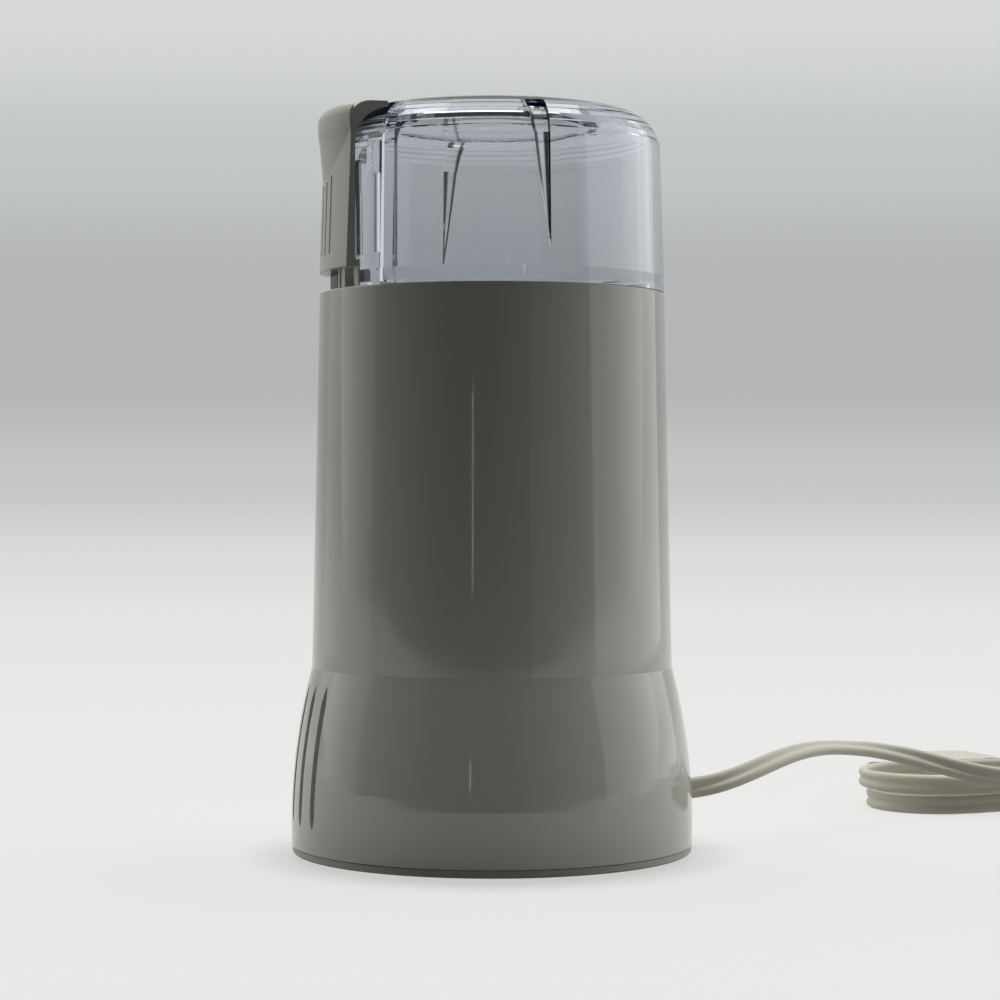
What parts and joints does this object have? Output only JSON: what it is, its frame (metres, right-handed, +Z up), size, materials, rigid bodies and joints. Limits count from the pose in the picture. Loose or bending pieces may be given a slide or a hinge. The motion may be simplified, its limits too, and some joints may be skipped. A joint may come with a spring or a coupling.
{
  "type": "electric blade spice grinder",
  "caption": "Upright electric blade grinder for spices and coffee beans: flared white body, steel bowl with a spinning blade, clear lid with a press-down switch bar, and two-core cord.",
  "frame": {"origin": "centre of the base, on the table", "axes": "+Z up along the motor shaft, -Y towards the front with the switch bar and the air slots, +Y towards the cord outlet, +X to the right seen from the front"},
  "size_m": [0.1625, 0.2944, 0.185],
  "materials": {
    "white_shell": "gloss, slightly warm white",
    "inner_plastic": "matte moulded plastic",
    "clear_lid": "clear, faintly violet smoke, polished",
    "bar_plastic": "satin warm white",
    "steel_bowl": "spun and brushed",
    "blade_steel": "ground",
    "shaft_steel": "turned",
    "plated_steel": "zinc plated",
    "spring_steel": "drawn wire",
    "laminations": "stacked laminations",
    "copper": "enamelled copper wire",
    "bronze": "oil-filled sintered bronze",
    "brass": "pressed brass",
    "carbon": "pressed carbon",
    "rubber": "matte rubber",
    "black_plastic": "matte black",
    "red_plastic": "matte red",
    "lead_wire": "insulated lead",
    "fibre": "matte grey",
    "cord_ivory": "soft ivory vinyl"
  },
  "bodies": {
    "body": {"housing": "white_shell", "bowl_well": "inner_plastic", "grinding_bowl": "steel_bowl", "bowl_seal": "rubber", "base_cover": "inner_plastic", "base_screws": "plated_steel", "rubber_feet": "rubber", "bar_springs": "spring_steel", "interlock_spring": "spring_steel", "stator_core": "laminations", "field_coils": "copper", "upper_bracket": "plated_steel", "lower_bracket": "plated_steel", "upper_bush": "bronze", "lower_bush": "bronze", "motor_screws": "plated_steel", "motor_mounts": "rubber", "brush_holders": "brass", "carbon_brushes": "carbon", "brush_springs": "spring_steel", "switch_body": "black_plastic", "switch_bracket": "plated_steel", "motor_leads": "lead_wire", "cord_clamp": "fibre", "clamp_screws": "plated_steel", "power_cord": "cord_ivory", "cord_hank": "cord_ivory", "cord_tie": "black_plastic", "plug_body": "cord_ivory", "plug_blades": "brass"},
    "rotor": {"motor_shaft": "shaft_steel", "rotor_core": "laminations", "rotor_windings": "copper", "commutator": "copper", "cooling_fan": "black_plastic", "blade": "blade_steel", "blade_nut": "black_plastic"},
    "bar": {"switch_bar": "bar_plastic"},
    "rod": {"push_rod": "black_plastic"},
    "lever": {"switch_lever": "plated_steel"},
    "plunger": {"switch_plunger": "red_plastic"},
    "lid": {"lid": "clear_lid"},
    "interlock": {"interlock_pin": "inner_plastic"}
  },
  "joints": [
    {"name": "rotor_spin", "type": "hinge", "parent": "body", "child": "rotor", "pos_m": [0, 0, 0.06], "axis": [0, 0, 1], "continuous": true},
    {"name": "bar_press", "type": "slide", "parent": "lid", "child": "bar", "axis": [0, 0, -1], "range_m": [0, 0.0018], "stiffness_N_per_m": 400, "springref_m": -0.004},
    {"name": "rod_press", "type": "slide", "parent": "body", "child": "rod", "axis": [0, 0, -1], "range_m": [0, 0.002], "deforming": ["bar_springs"]},
    {"name": "lever_turn", "type": "hinge", "parent": "body", "child": "lever", "pos_m": [-0.0075, -0.0335, 0.0698], "axis": [0, 1, 0], "range_deg": [0, 9]},
    {"name": "plunger_press", "type": "slide", "parent": "body", "child": "plunger", "axis": [0, 0, -1], "range_m": [0, 0.00065]},
    {"name": "lid_lift", "type": "slide", "parent": "body", "child": "lid", "axis": [0, 0, 1], "range_m": [0, 0.07]},
    {"name": "interlock_rise", "type": "slide", "parent": "body", "child": "interlock", "axis": [0, 0, 1], "range_m": [0, 0.0031], "deforming": ["interlock_spring"]}
  ],
  "couplings": [
    {"joint": "rod_press", "follows": "bar_press", "ratio": 1},
    {"joint": "lever_turn", "follows": "bar_press", "rad_per_m": 77},
    {"joint": "plunger_press", "follows": "bar_press", "ratio": 0.325},
    {"joint": "interlock_rise", "follows": "lid_lift", "ratio": 0.042857}
  ]
}
